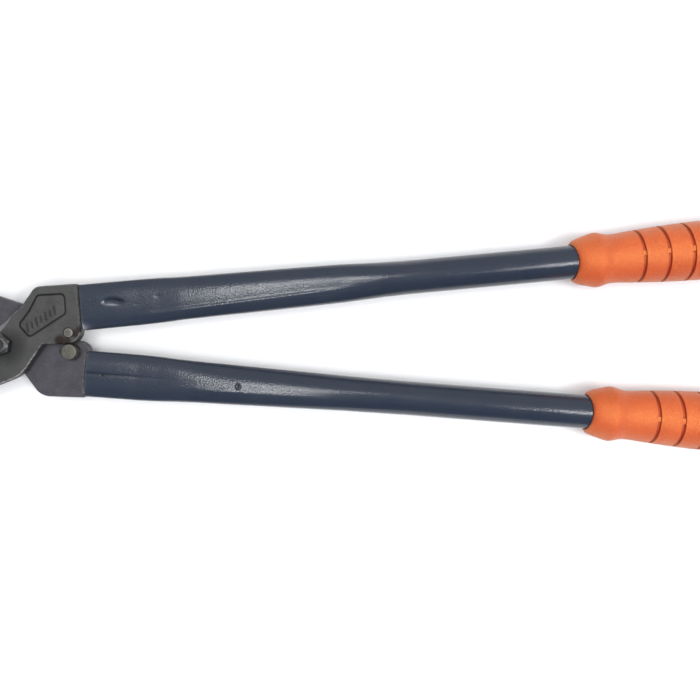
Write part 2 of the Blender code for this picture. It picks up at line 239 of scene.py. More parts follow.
def fillet(corner, before, after):
    """The points of one rounded corner."""
    x, y, radius = corner
    point = Vector((x, y))
    if radius == 0:
        return [point]
    to_before = (Vector(before[:2]) - point).normalized()
    to_after = (Vector(after[:2]) - point).normalized()
    half = to_before.angle(to_after) / 2
    centre = point + (to_before + to_after).normalized() * (radius / math.sin(half))
    start = point + to_before * (radius / math.tan(half)) - centre
    end = point + to_after * (radius / math.tan(half)) - centre
    sweep = math.atan2(start.x * end.y - start.y * end.x, start.dot(end))
    steps = max(1, math.ceil(abs(sweep) / ARC_STEP))
    return [centre + Matrix.Rotation(sweep * i / steps, 2) @ start for i in range(steps + 1)]


def rounded_outline(corners):
    """A closed line through the corners, with each one rounded."""
    points = []
    for index, corner in enumerate(corners):
        points += fillet(corner, corners[index - 1], corners[(index + 1) % len(corners)])
    return points


def circle(centre, radius, count):
    turns = [2 * math.pi * i / count for i in range(count)]
    x, y = centre
    return [Vector((x + radius * math.cos(t), y + radius * math.sin(t))) for t in turns]


def cut_by_circle(points, centre, radius):
    """The part of an outline outside a circle, and the arc of the bite that closes it."""
    centre = Vector(centre)
    outside = [(point - centre).length > radius for point in points]
    count = len(points)
    start = next(i for i in range(count) if outside[i] and not outside[i - 1])
    ordered = [points[(start + i) % count] for i in range(count)]
    kept = [point for point in ordered if (point - centre).length > radius]

    def crossing(inner, outer):
        low, high = 0.0, 1.0
        for _ in range(40):
            middle = (low + high) / 2
            if (inner.lerp(outer, middle) - centre).length < radius:
                low = middle
            else:
                high = middle
        return inner.lerp(outer, high)

    first = crossing(points[start - 1], kept[0])
    last = crossing(ordered[len(kept)], kept[-1])
    turn_last = math.atan2(*(last - centre).yx)
    turn_first = math.atan2(*(first - centre).yx)
    sweep = (turn_last - turn_first) % (2 * math.pi)
    steps = math.ceil(sweep * radius / 0.7)
    turns = [turn_last - sweep * i / steps for i in range(1, steps)]
    arc = [centre + radius * Vector((math.cos(t), math.sin(t))) for t in turns]
    return [first, *kept, last], arc


def resample(points, spacing, closed=True):
    """The same line with no side longer than the spacing."""
    result = []
    pairs = zip(points, points[1:] + points[:1]) if closed else zip(points, points[1:])
    for start, end in pairs:
        steps = max(1, math.ceil((end - start).length / spacing))
        result += [start.lerp(end, i / steps) for i in range(steps)]
    return result if closed else result + [points[-1]]


def distances(places, line, closed=True):
    """Shortest distance from each place to a line of points."""
    starts = np.array([tuple(p) for p in line])
    ends = np.roll(starts, -1, axis=0)
    if not closed:
        starts, ends = starts[:-1], ends[:-1]
    along = ends - starts
    best = np.full(len(places), 1e9)
    for start, step in zip(starts, along):
        share = np.clip((places - start) @ step / max(step @ step, 1e-12), 0, 1)
        offset = places - start - share[:, None] * step
        best = np.minimum(best, np.hypot(offset[:, 0], offset[:, 1]))
    return best


def inside(places, line):
    """Whether each place is inside a closed line."""
    points = np.array([tuple(p) for p in line])
    found = np.zeros(len(places), bool)
    for (x0, y0), (x1, y1) in zip(points, np.roll(points, -1, axis=0)):
        if y0 == y1:
            continue
        crosses = (places[:, 1] < y0) != (places[:, 1] < y1)
        found ^= crosses & (places[:, 0] < x0 + (places[:, 1] - y0) / (y1 - y0) * (x1 - x0))
    return found


def rings_beside(line, offsets, closed=True):
    """Free points at set distances to the left of a line that runs anticlockwise."""
    points = []
    count = len(line)
    for index, point in enumerate(line):
        before = line[index - 1] if closed or index else point
        after = line[(index + 1) % count] if closed or index < count - 1 else point
        direction = (after - before).normalized()
        normal = Vector((-direction.y, direction.x))
        points += [point + normal * offset for offset in offsets]
    return points


def wander(places, size, seed):
    """Smooth unevenness, about -1 to 1, that changes over the given size."""
    return np.array([noise.noise(Vector((x / size, y / size, seed))) for x, y in places])


def along_handle(handle, distance, across=0.0):
    """A point beside the handle's axis, from the pivot."""
    axis = Vector((math.cos(handle.angle), math.sin(handle.angle)))
    normal = Vector((-axis.y, axis.x))
    return axis * distance + normal * (handle.offset + across)


def place_of(point):
    """Where a point of the blades' plane is in the scene."""
    return PIVOT + Vector((point[0], point[1], 0)) * MM


# ---- mesh helpers

def new_object(name, data):
    obj = bpy.data.objects.new(name, data)
    bpy.context.scene.collection.objects.link(obj)
    return obj


def piece_from(name, vertices, faces, body, material, location=None, angle=0.0):
    """A new piece from vertices in millimetres beside its location."""
    mesh = bpy.data.meshes.new(name)
    mesh.from_pydata([tuple(c * MM for c in vertex) for vertex in vertices], [], faces)
    mesh.materials.append(material)
    shape = bmesh.new()
    shape.from_mesh(mesh)
    bmesh.ops.recalc_face_normals(shape, faces=shape.faces)
    shape.to_mesh(mesh)
    shape.free()
    piece = new_object(name, mesh)
    piece.location = PIVOT if location is None else location
    piece.rotation_euler.z = angle
    mesh.shade_smooth()
    mesh.set_sharp_from_angle(angle=SHARP_ANGLE)
    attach(piece, body)
    return piece


def lofted(rings, loop=False):
    """Vertices and faces of stacked rings of equal count, capped or joined into a loop."""
    vertices = [place for ring in rings for place in ring]
    count = len(rings[0])
    faces = []
    for ring in range(len(rings) if loop else len(rings) - 1):
        low, high = ring * count, (ring + 1) % len(rings) * count
        for index in range(count):
            following = (index + 1) % count
            faces.append((low + index, low + following, high + following, high + index))
    if not loop:
        faces.append(tuple(reversed(range(count))))
        faces.append(tuple(range(len(vertices) - count, len(vertices))))
    return vertices, faces


def turned(profile, steps):
    """Rings of a solid turned about Z from (radius, height) points."""
    return [
        [(*point, height) for point in circle((0, 0), radius, steps)]
        for radius, height in profile]


def add_attribute(piece, name, values):
    """Stores one number for each vertex, for the material to read."""
    attribute = piece.data.attributes.new(name, "FLOAT", "POINT")
    attribute.data.foreach_set("value", np.asarray(values, np.float32))


# ---- materials

class Nodes:
    """Short names for the node setups that the materials and the room repeat."""

    def __init__(self, owner, shader="Principled BSDF"):
        owner.use_nodes = True
        self.owner = owner
        self.tree = owner.node_tree
        self.shader = self.tree.nodes[shader]
        self.place = self.add("ShaderNodeTexCoord").outputs["Object"]

    def add(self, kind, inputs=(), **settings):
        node = self.tree.nodes.new(kind)
        for key, value in settings.items():
            setattr(node, key, value)
        for key, value in dict(inputs).items():
            node.inputs[key].default_value = value
        return node

    def join(self, source, socket):
        self.tree.links.new(source, socket)

    def stretched(self, scale):
        node = self.add("ShaderNodeMapping", {"Scale": scale})
        self.join(self.place, node.inputs["Vector"])
        return node.outputs["Vector"]

    def noise(self, scale, detail=4.0, roughness=0.6, place=None):
        inputs = {"Scale": scale, "Detail": detail, "Roughness": roughness}
        node = self.add("ShaderNodeTexNoise", inputs)
        self.join(place or self.place, node.inputs["Vector"])
        return node.outputs["Fac"]

    def attribute(self, name):
        return self.add("ShaderNodeAttribute", attribute_name=name).outputs["Fac"]

    def span(self, value, low, high, to_low=0.0, to_high=1.0):
        """A soft step from one value to another."""
        inputs = {"From Min": low, "From Max": high, "To Min": to_low, "To Max": to_high}
        node = self.add("ShaderNodeMapRange", inputs, interpolation_type="SMOOTHSTEP")
        self.join(value, node.inputs["Value"])
        return node.outputs["Result"]

    def feed(self, value, socket):
        """Gives a socket a number, a colour or another node's output."""
        if isinstance(value, (int, float)):
            socket.default_value = value
        elif isinstance(value, tuple):
            socket.default_value = (*value, 1.0)
        else:
            self.join(value, socket)

    def math(self, operation, first, second):
        node = self.add("ShaderNodeMath", operation=operation)
        self.feed(first, node.inputs[0])
        self.feed(second, node.inputs[1])
        return node.outputs["Value"]

    def mix(self, share, first, second):
        node = self.add("ShaderNodeMix", data_type="RGBA")
        self.join(share, node.inputs["Factor"])
        self.feed(first, node.inputs[6])
        self.feed(second, node.inputs[7])
        return node.outputs[2]

    def drift(self, cloud, shades):
        """A colour that drifts between two shades."""
        return self.mix(self.span(cloud, 0.3, 0.7), *shades)

    def near(self, centre, reach):
        """1 at a point of the piece, falling to 0 at the reach, both in metres."""
        node = self.add("ShaderNodeVectorMath", {1: centre}, operation="DISTANCE")
        self.join(self.place, node.inputs[0])
        return self.span(node.outputs["Value"], reach * 0.35, reach, 1.0, 0.0)

    def bumps(self, *layers):
        """Stacks (height, depth in metres, strength) layers into the shader's normal."""
        previous = None
        for height, depth, strength in layers:
            node = self.add("ShaderNodeBump", {"Distance": depth, "Strength": strength})
            self.join(height, node.inputs["Height"])
            if previous:
                self.join(previous, node.inputs["Normal"])
            previous = node.outputs["Normal"]
        self.join(previous, self.shader.inputs["Normal"])

    def surface(self, colour, roughness, metallic=0.0, **uniform):
        self.join(colour, self.shader.inputs["Base Color"])
        self.join(roughness, self.shader.inputs["Roughness"])
        self.shader.inputs["Metallic"].default_value = metallic
        for socket, value in uniform.items():
            self.shader.inputs[socket.replace("_", " ")].default_value = value
        return self.owner


def scaled(colour, factor):
    return tuple(channel * factor for channel in colour)


def blade_material(name, shades, rust_spots):
    """Dark oxide on forged steel, with ground edges, worn corners, painted highlights on some
    edges, a dark seam and painted shade in its hollows, grime with a painted shadow round the
    hub, and rust spots.
    """
    dark, light = shades
    nodes = Nodes(bpy.data.materials.new(name))
    cloud = nodes.noise(90, 5)
    grain = nodes.noise(1600, 3, 0.7)
    colour = nodes.drift(cloud, shades)
    speck = nodes.span(grain, 0.52, 0.75, 0.0, 0.55)
    colour = nodes.mix(speck, colour, scaled(light, 1.9))
    pits = nodes.span(nodes.noise(800, 2), 0.26, 0.38, 0.45, 0.0)
    colour = nodes.mix(pits, colour, scaled(dark, 0.35))
    # Painted shade darkens the panel's groove, its bars and the stop pin's seat; the same colour
    # makes the dark seam round the tenon
    colour = nodes.mix(nodes.attribute("shade_and_seam"), colour, SEAM_AND_SHADE)
    flecks = nodes.span(nodes.noise(900, 3), 0.70, 0.75, 0.0, 0.7)
    colour = nodes.mix(flecks, colour, scaled(light, 2.6))
    # Grime with a painted soft shadow of the bolt head, darkening the blade round the hub
    grime_and_shadow = nodes.math("MULTIPLY", nodes.near(*GRIME_AND_SHADOW_SPOT), 0.62)
    colour = nodes.mix(grime_and_shadow, colour, GRIME_AND_SHADOW)
    # Wear, with painted highlights on the edge beside the hub, the ramp and the side walls by the
    # mouth
    worn = nodes.span(nodes.noise(420, 4), 0.35, 0.62)
    wear_and_highlight = nodes.math("MULTIPLY", nodes.attribute("wear_and_highlight"), worn)
    colour = nodes.mix(wear_and_highlight, colour, WORN_OXIDE_AND_HIGHLIGHT)
    ground = nodes.attribute("ground")
    colour = nodes.mix(ground, colour, GROUND_STEEL)
    rust = None
    for centre, reach in rust_spots:
        patch = nodes.near(centre, reach)
        rust = patch if rust is None else nodes.math("MAXIMUM", rust, patch)
    ragged = nodes.span(nodes.noise(500, 5, 0.65), 0.20, 0.40)
    colour = nodes.mix(nodes.math("MULTIPLY", rust, ragged), colour, RUST)
    roughness = nodes.span(cloud, 0.3, 0.7, 0.50, 0.62)
    roughness = nodes.math("SUBTRACT", roughness, nodes.math("MULTIPLY", ground, 0.24))
    roughness = nodes.math("SUBTRACT", roughness, nodes.math("MULTIPLY", wear_and_highlight, 0.15))
    nodes.bumps((nodes.noise(260, 4), 0.00025, 0.5), (grain, 0.00012, 0.55))
    return nodes.surface(colour, roughness, metallic=0.55)


def steel_material(name, shades, roughness, metallic):
    """Plain machined steel with brighter worn corners."""
    nodes = Nodes(bpy.data.materials.new(name))
    cloud = nodes.noise(350, 4)
    grain = nodes.noise(2500, 3)
    colour = nodes.mix(nodes.attribute("wear_and_highlight"), nodes.drift(cloud, shades), WORN_STEEL)
    rough = nodes.span(cloud, 0.3, 0.7, roughness - 0.06, roughness + 0.1)
    nodes.bumps((cloud, 0.0001, 0.4), (grain, 0.00005, 0.4))
    return nodes.surface(colour, rough, metallic=metallic)


def paint_material():
    """Slate powder coat: orange peel, faint streaks, small scuffs, wear with painted highlights,
    and painted shade in its marks.
    """
    nodes = Nodes(bpy.data.materials.new("tube_paint"))
    cloud = nodes.noise(25, 4)
    streak = nodes.noise(900, 3, place=nodes.stretched((0.03, 1, 1)))
    peel = nodes.noise(950, 2, 0.45)
    colour = nodes.drift(cloud, PAINT)
    colour = nodes.mix(nodes.span(streak, 0.55, 0.8, 0.0, 0.25), colour, PAINT_STREAK)
    scuffs = nodes.span(nodes.noise(210, 6, 0.75), 0.76, 0.80)
    colour = nodes.mix(scuffs, colour, PAINT_SCUFF)
    # Wear and painted highlights: the mouth corner and the dent's lip
    colour = nodes.mix(nodes.attribute("wear_and_highlight"), colour, PAINT_WORN_AND_HIGHLIGHT)
    # Painted shade in the dents and marks
    colour = nodes.mix(nodes.attribute("shade_and_seam"), colour, PAINT_SHADE)
    roughness = nodes.span(cloud, 0.3, 0.7, 0.16, 0.22)
    nodes.bumps((nodes.noise(160, 2), 0.00010, 0.22), (peel, 0.00014, 0.75))
    return nodes.surface(colour, roughness)


def vinyl_material():
    """Soft orange vinyl with a sandy grain that carries painted glints, and painted shade in its
    grooves.
    """
    nodes = Nodes(bpy.data.materials.new("grip_vinyl"))
    cloud = nodes.noise(55, 5)
    sand = nodes.noise(950, 3, 0.7)
    colour = nodes.drift(cloud, VINYL)
    # Lighter yellow specks in the grain: painted glints
    colour = nodes.mix(nodes.span(sand, 0.50, 0.66, 0.0, 0.6), colour, VINYL_SAND_GLINT)
    # Painted shade in the grooves and the bore
    colour = nodes.mix(nodes.attribute("shade_and_seam"), colour, VINYL_GROOVE_SHADE)
    roughness = nodes.span(cloud, 0.3, 0.7, 0.38, 0.47)
    nodes.bumps((nodes.noise(420, 3), 0.00012, 0.4), (sand, 0.00045, 1.0))
    return nodes.surface(
        colour, roughness, Subsurface_Weight=0.06, Subsurface_Scale=0.002, IOR=1.75,
        Specular_Tint=VINYL_GLOSS, Specular_IOR_Level=0.85)


def nylon_material():
    """Pale blue nylon, slightly cloudy."""
    nodes = Nodes(bpy.data.materials.new("lock_nylon"))
    cloud = nodes.noise(600, 3)
    nodes.bumps((nodes.noise(3000, 2), 0.00004, 0.4))
    return nodes.surface(nodes.drift(cloud, NYLON), nodes.span(cloud, 0.3, 0.7, 0.4, 0.55))


# ---- blades

def edge_rounding(distance, radius):
    """How far a rounded rim has dropped at this distance inside the outline."""
    share = np.clip(1 - distance / radius, 0, 1)
    return radius * (1 - np.sqrt(1 - share ** 2))


def panel_bars():
    """Slanted bars across the panel, as (centre, direction, half length)."""
    slant = math.radians(33)
    row = Vector((math.cos(slant), math.sin(slant)))
    lean = Vector((math.cos(slant + math.radians(68)), math.sin(slant + math.radians(68))))
    start = Vector((17.2, 11.6))
    lengths = (2.6, 1.7, 2.6, 1.7, 2.6, 1.7, 2.6)
    return [(start + row * (3.7 * i), lean, half) for i, half in enumerate(lengths)]


class BladeShape:
    """One blade as two height maps over a triangulated outline."""

    def __init__(self, handle):
        self.handle = handle
        self.blade = handle.blade
        self.axis = np.array([math.cos(handle.angle), math.sin(handle.angle)])
        rim, bite = cut_by_circle(
            rounded_outline(self.blade.outline), self.blade.edge, EDGE_RADIUS)
        self.rim = resample(rim, 0.8, closed=False)
        self.outline = self.rim + bite
        self.bore = circle((0, 0), BORE_RADIUS, 64)
        self.hole = circle(self.blade.stop, PIN_HOLE_RADIUS, 48)
        front = self.blade.side > 0
        self.panel = rounded_outline(PANEL_OUTLINE) if front else None
        self.bars = panel_bars() if front else []

    def feature_points(self):
        """Free points close together where the surface bends, then a plain grid."""
        points = rings_beside(self.rim, (0.1, 0.25, 0.45, 0.7, 0.95, 1.3), closed=False)
        for radius in (0.35, 1.0, 2.0, 3.0, 4.0, 4.8, 5.2, 5.45, 5.65, 6.0):
            points += circle(self.blade.edge, EDGE_RADIUS + radius, 260)
        for centre, radius in (((0, 0), BORE_RADIUS), (self.blade.stop, PIN_HOLE_RADIUS)):
            points += circle(centre, radius + 0.2, 48) + circle(centre, radius + 0.5, 48)
        if self.panel:
            line = resample(self.panel, 0.5)
            points += rings_beside(line, (0, 0.25, -0.25, 0.5, -0.5, 0.8, -0.8, 1.2, -1.2))
            for centre, direction, half in self.bars:
                side = Vector((-direction.y, direction.x))
                steps = [half * (i / 5 - 1) for i in range(11)]
                for across in (0, 0.3, -0.3, 0.6, -0.6, 0.9, -0.9):
                    points += [centre + direction * step + side * across for step in steps]
        for i in range(9):
            distance = self.handle.mouth - 0.3 - 0.55 * i
            points += [along_handle(self.handle, distance, j - 21.5) for j in range(44)]
        steps = [i * 1.1 for i in range(-66, 60)]
        points += [Vector((x, y)) for x in steps for y in steps]
        return points

    def triangulate(self):
        """Places in the outline, and the triangles between them."""
        loops = [self.outline, self.bore, self.hole]
        points = [point for loop in loops for point in loop]
        edges, start = [], 0
        for loop in loops:
            count = len(loop)
            edges += [(start + i, start + (i + 1) % count) for i in range(count)]
            start += count
        free = self.feature_points()
        places = np.array([tuple(p) for p in free])
        keep = inside(places, self.outline)
        keep &= np.hypot(places[:, 0], places[:, 1]) > BORE_RADIUS + 0.08
        keep &= np.hypot(*(places - np.array(self.blade.stop)).T) > TENON_RADIUS + 0.2
        keep &= distances(places, self.outline) > 0.07
        points += [point for point, kept in zip(free, keep) if kept]
        points = self.thinned(points, start)
        found = delaunay_2d_cdt(points, edges, [], 0, 0.0001)
        places = np.array([tuple(p) for p in found[0]])
        faces = np.array(found[2])
        middles = places[faces].mean(axis=1)
        keep = inside(middles, self.outline)
        keep &= ~inside(middles, self.bore) & ~inside(middles, self.hole)
        return places, faces[keep]

    @staticmethod
    def thinned(points, fixed):
        """Drops free points that lie closer than the mesh spacing to an earlier point."""
        cells = {}
        kept = []
        for index, point in enumerate(points):
            column = math.floor(point.x / MESH_SPACING)
            row = math.floor(point.y / MESH_SPACING)
            near = [
                other for i in (-1, 0, 1) for j in (-1, 0, 1)
                for other in cells.get((column + i, row + j), ())]
            if index >= fixed and any((other - point).length < MESH_SPACING for other in near):
                continue
            cells.setdefault((column, row), []).append(point)
            kept.append(point)
        return kept

    def measure(self, places):
        """Distances that every height and every wear and painted highlight value is worked out
        from.
        """
        normal = np.array([-self.axis[1], self.axis[0]])
        self.from_rim = distances(places, self.rim, closed=False)
        self.from_edge = np.hypot(*(places - np.array(self.blade.edge)).T)
        self.from_stop = np.hypot(*(places - np.array(self.blade.stop)).T)
        self.to_mouth = self.handle.mouth - places @ self.axis
        self.across = places @ normal - self.handle.offset
        self.on_ramp = smooth((RAMP_HALF_WIDTH - np.abs(self.across)) / 2.4)

    def outer_face(self, places):
        """Heights of the face that shows, with how ground it is there, and its dark seam and
        painted shade in the panel's groove and bars.
        """
        blade = self.blade
        height = np.full(len(places), BLADE_FACE)
        height += 0.10 * wander(places, 9.0, 3.1 + blade.side) + 0.04 * wander(places, 2.2, 7.7)
        height = np.minimum(height, BLADE_FACE + 0.05)
        height -= edge_rounding(self.from_rim, RIM_ROUNDING)
        height -= blade.drop * smooth(1 - self.to_mouth / 1.6)
        share = np.clip((self.from_edge - EDGE_RADIUS) / BEVEL_WIDTH, 0, 1.5)
        bevel = MEETING_GAP + EDGE_LAND + (BLADE_FACE - EDGE_LAND) * share ** 1.2
        ground = smooth((height - bevel) / 0.25)
        height = np.minimum(height, bevel)

        shade_and_seam = np.zeros(len(places))
        if self.panel:
            line = distances(places, self.panel)
            floor = smooth(np.where(inside(places, self.panel), line, -line) / 0.5 + 0.5)
            # The groove round the panel gets painted shade
            groove = bell(line, 0.5)
            height -= PANEL_DEPTH * floor + PANEL_LINE_DEPTH * groove
            shade_and_seam = np.maximum(shade_and_seam, groove)
        for centre, direction, half in self.bars:
            ends = [centre - direction * half, centre + direction * half]
            from_bar = distances(places, ends, closed=False)
            cut = smooth(1 - (from_bar - BAR_HALF_WIDTH) / 0.35)
            height -= BAR_DEPTH * cut
            # The bars get painted shade
            shade_and_seam = np.maximum(shade_and_seam, 0.6 * cut)
        # A dark seam round the riveted tenon
        seam = bell(self.from_stop - TENON_RADIUS - 0.3, 0.3)
        return height, ground, np.maximum(shade_and_seam, 0.8 * seam)

    def inner_face(self, places):
        """Heights of the face towards the other blade, which ramps down to the tang."""
        height = np.full(len(places), MEETING_GAP)
        ramp = smooth(1.15 - self.to_mouth / RAMP_LENGTH) * self.on_ramp
        height -= (TANG_HALF_THICKNESS + RAMP_DROP + MEETING_GAP) * ramp
        return height + edge_rounding(self.from_rim, 0.2)

    def outer_wear_and_highlight(self, places):
        """Bare metal on the rim, more beside the hub where it is also a painted highlight on the
        rounded edge, and where the tube rubs.
        """
        rim, across = self.from_rim, self.across
        wear_and_highlight = bell(rim - 0.45, 0.3) * 0.55
        if self.blade.side > 0:
            x, y = places.T
            beside_hub = smooth((x - y - 18) / 8) * smooth((26 - x) / 4)
            # The rounded rim beside the hub gets a painted highlight on top of its wear
            wear_and_highlight = np.maximum(wear_and_highlight, 1.6 * beside_hub * bell(rim - 0.3, 0.25))
            rubbed = smooth((-11.0 - across) / 4.0)
        else:
            rubbed = smooth((RAMP_HALF_WIDTH - np.abs(across)) / 2)
        wear_and_highlight *= smooth(self.to_mouth / 1.5)
        return np.maximum(wear_and_highlight, 0.6 * smooth(1.6 - self.to_mouth / 1.5) * rubbed)

    def closed_shell(self, places, faces, outer, inner):
        """The two faces joined by side walls that have some rings of their own."""
        levels = (0.0, 0.12, 0.5, 0.88)
        count = len(places)
        edges = {pair for a, b, c in faces for pair in ((a, b), (b, c), (c, a))}
        border = [(a, b) for a, b in edges if (b, a) not in edges]
        vertices = [(x, y, h) for (x, y), h in zip(places, outer)]
        vertices += [(x, y, h) for (x, y), h in zip(places, inner)]
        solid = [tuple(face) for face in faces] + [tuple(face[::-1] + count) for face in faces]
        columns = {}
        for index in sorted({i for pair in border for i in pair}):
            columns[index] = [index]
            for level in levels[1:]:
                columns[index].append(len(vertices))
                height = outer[index] + (inner[index] - outer[index]) * level
                vertices.append((*places[index], height))
            columns[index].append(index + count)
        for a, b in sorted(border):
            first, second = columns[a], columns[b]
            for i in range(len(levels)):
                solid.append((first[i], first[i + 1], second[i + 1], second[i]))
        return [(x, y, h * self.blade.side) for x, y, h in vertices], solid

    def build(self, material):
        handle, blade = self.handle, self.blade
        places, faces = self.triangulate()
        self.measure(places)
        outer, ground, shade_and_seam = self.outer_face(places)
        vertices, solid = self.closed_shell(places, faces, outer, self.inner_face(places))
        name = blade.name + "_blade_steel"
        piece = piece_from(name, vertices, solid, handle.body, material)

        count = len(places)
        extra = len(vertices) - 2 * count
        sides = np.array([vertex[:2] for vertex in vertices[2 * count:]])
        # Painted highlight that lightens the side walls just before the mouth
        side_highlight = 0.35 * smooth(1 - (handle.mouth - sides @ self.axis) / 2)
        # Painted highlight on the ramp before the mouth, and wear along the inner rim
        inner_wear_and_highlight = smooth(1.7 - self.to_mouth / RAMP_LENGTH) * self.on_ramp
        inner_wear_and_highlight += 0.4 * bell(self.from_rim - 0.2, 0.2)
        wear_and_highlight = np.concatenate([self.outer_wear_and_highlight(places), inner_wear_and_highlight, side_highlight])
        # Painted shade ring where the stop pin's body sits on the blade's inner face
        seat = 0.7 * bell(self.from_stop - STOP_BODY_RADIUS - 0.3, 0.5)
        add_attribute(piece, "wear_and_highlight", wear_and_highlight)
        add_attribute(piece, "ground", np.concatenate([ground, np.zeros(count + extra)]))
        add_attribute(piece, "shade_and_seam", np.concatenate([shade_and_seam, seat, np.zeros(extra)]))
        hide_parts(blade.name + "_blade")


def build_tang(handle, material):
    """The flat tongue that the tube is pressed over."""
    low, high = handle.mouth - 2.0, handle.mouth + TANG_INSERT
    half = TANG_HALF_WIDTH
    thick = TANG_HALF_THICKNESS
    points = rounded_outline([
        (low, -half, 0.5), (high, -half, 4), (high, half, 4), (low, half, 0.5)])
    rings = []
    for level, inset in ((-thick, 0.5), (-thick + 0.5, 0), (thick - 0.5, 0), (thick, 0.5)):
        x = np.clip([point.x for point in points], low + inset, high - inset)
        y = np.clip([point.y for point in points], -half + inset, half - inset)
        rings.append([(a, b, level) for a, b in zip(x, y)])
    vertices, faces = lofted(rings)
    piece = piece_from(
        handle.blade.name + "_tang", vertices, faces, handle.body, material,
        place_of(along_handle(handle, 0)), handle.angle)
    for name in ("wear_and_highlight", "ground", "shade_and_seam"):
        add_attribute(piece, name, np.zeros(len(vertices)))
    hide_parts(handle.blade.name + "_blade")


# ---- pins, bolt and nut

def ring_wear(piece, values, steps):
    """One wear value for each ring of a piece made of rings."""
    add_attribute(piece, "wear_and_highlight", [value for value in values for _ in range(steps)])


def build_turned(name, profile, steps, body, material, place=(0, 0), loop=False, wear_and_highlight=None):
    """A piece turned about the pivot's axis or one beside it."""
    vertices, faces = lofted(turned(profile, steps), loop=loop)
    piece = piece_from(name, vertices, faces, body, material, place_of(place))
    ring_wear(piece, wear_and_highlight or [0.0] * len(profile), steps)
    return piece


def build_stop_pin(handle, material):
    """A riveted tenon with a worn rim, and the thick body that meets the other blade."""
    blade = handle.blade
    face = BLADE_FACE
    body, end = STOP_BODY_RADIUS, STOP_BODY_END
    profile = [
        (0.01, face + 0.42), (1.6, face + 0.45), (2.5, face + 0.34), (2.95, face + 0.12),
        (TENON_RADIUS, face - 0.3), (TENON_RADIUS, -0.15), (body - 0.25, -0.15), (body, -0.4),
        (body, end + 0.7), (body - 0.2, end + 0.3), (4.6, end + 0.05), (3.4, end), (0.01, end),
    ]
    wear_and_highlight = [0.05, 0.05, 0.2, 0.4, 0.1, 0, 0, 0, 0.05, 0.2, 0.1, 0.05, 0.05]
    profile = [(radius, blade.side * height) for radius, height in profile]
    piece = build_turned(
        blade.name + "_stop_pin_steel", profile, 64, handle.body, material,
        blade.stop, wear_and_highlight=wear_and_highlight)
    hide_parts(blade.name + "_stop_pin")


def capped_hexagon(levels, turn):
    """Rings of a hexagon cut by a turned cap: each level is (height, cap radius)."""
    rings = []
    for height, cap in levels:
        ring = []
        for index in range(HEX_STEPS):
            angle = 2 * math.pi * index / HEX_STEPS
            from_corner = (angle - turn) % math.radians(60)
            side = HEX_FLATS / 2 / math.cos(from_corner - math.radians(30))
            radius = min(side, cap)
            ring.append((radius * math.cos(angle), radius * math.sin(angle), height))
        rings.append(ring)
    return rings


def build_bolt(body, material):
    """Hexagon head with a dished top, and a plain shank."""
    low = BLADE_FACE + HEAD_GAP
    high = low + HEAD_HEIGHT
    corner = HEX_CORNER
    head = [
        (low, corner - 0.5), (low + 0.35, corner + 1), (high - 1.9, corner + 1),
        (high - 1.7, corner - 0.15), (high - 1.1, 6.6), (high - 0.35, 5.3), (high - 0.08, 4.8),
        (high, 4.5), (high - 0.02, 4.1), (high - 0.2, 3.6), (high - 0.22, 2.0),
        (high - 0.2, 0.02),
    ]
    shank = [(3.2, SHANK_END), (SHANK_RADIUS, SHANK_END + 0.8), (SHANK_RADIUS, low)]
    vertices, faces = lofted(turned(shank, HEX_STEPS) + capped_hexagon(head, HEAD_TURN))
    bolt = piece_from("pivot_bolt_steel", vertices, faces, body, material)
    wear_and_highlight = [0, 0, 0, 0, 0.1, 0.1, 0.3, 0.08, 0.08, 0.22, 0.28, 0.12, 0.05, 0.05, 0.05]
    ring_wear(bolt, wear_and_highlight, HEX_STEPS)
    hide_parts("pivot_bolt")


def sleeve(radius, top, bottom):
    """Profile of a chamfered ring that the shank passes through."""
    return [
        (CLEAR_BORE, top), (radius - 0.2, top), (radius, top - 0.2), (radius, bottom + 0.2),
        (radius - 0.2, bottom), (CLEAR_BORE, bottom),
    ]


def build_nut(body, material, high):
    """Hexagon nut with a round collar that holds the nylon ring."""
    low = high - NUT_HEIGHT
    corner = HEX_CORNER
    outer = [
        (high, corner - 1.0), (high - 0.5, corner + 1), (low + 3.2, corner + 1),
        (low + 2.4, corner - 0.7), (low + 2.0, 6.3), (low + 0.5, 6.0), (low + 0.1, 5.6),
        (low, 5.3),
    ]
    seat = [(5.3, low + 2.2), (CLEAR_BORE, low + 2.2), (CLEAR_BORE, high)]
    rings = capped_hexagon(outer, NUT_TURN) + turned(seat, HEX_STEPS)
    vertices, faces = lofted(rings, loop=True)
    nut = piece_from("lock_nut_steel", vertices, faces, body, material)
    ring_wear(nut, [0.1, 0.3, 0.3, 0.6, 0.2, 0.2, 0.4, 0.3, 0, 0, 0], HEX_STEPS)
    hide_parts("lock_nut")


def build_pivot(body, steel, nylon):
    """Everything on the pivot's axis, from the bolt's head down to the nut."""
    build_bolt(body, steel)

    profile = sleeve(BUSHING_RADIUS, BUSHING_HALF_HEIGHT, -BUSHING_HALF_HEIGHT)
    bushing = build_turned(
        "pivot_bushing_steel", profile, 64, body, steel, loop=True)
    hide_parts("pivot_bushing")

    top = -BLADE_FACE - HEAD_GAP
    bottom = top - WASHER_THICKNESS
    washer = build_turned(
        "nut_washer_steel", sleeve(WASHER_RADIUS, top, bottom), HEX_STEPS, body, steel,
        loop=True, wear_and_highlight=[0, 0.1, 0.5, 0.5, 0.3, 0.1])
    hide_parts("nut_washer")

    build_nut(body, steel, bottom - NUT_GAP)
    low = bottom - NUT_GAP - NUT_HEIGHT
    profile = [
        (4.05, low + 0.25), (4.05, low + 1.9), (5.0, low + 1.9), (5.0, low + 0.3),
        (4.75, low + 0.05), (4.3, low + 0.05),
    ]
    ring = build_turned(
        "nut_lock_ring_nylon", profile, 64, body, nylon, loop=True)
    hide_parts("nut_lock_ring")


# ---- tubes

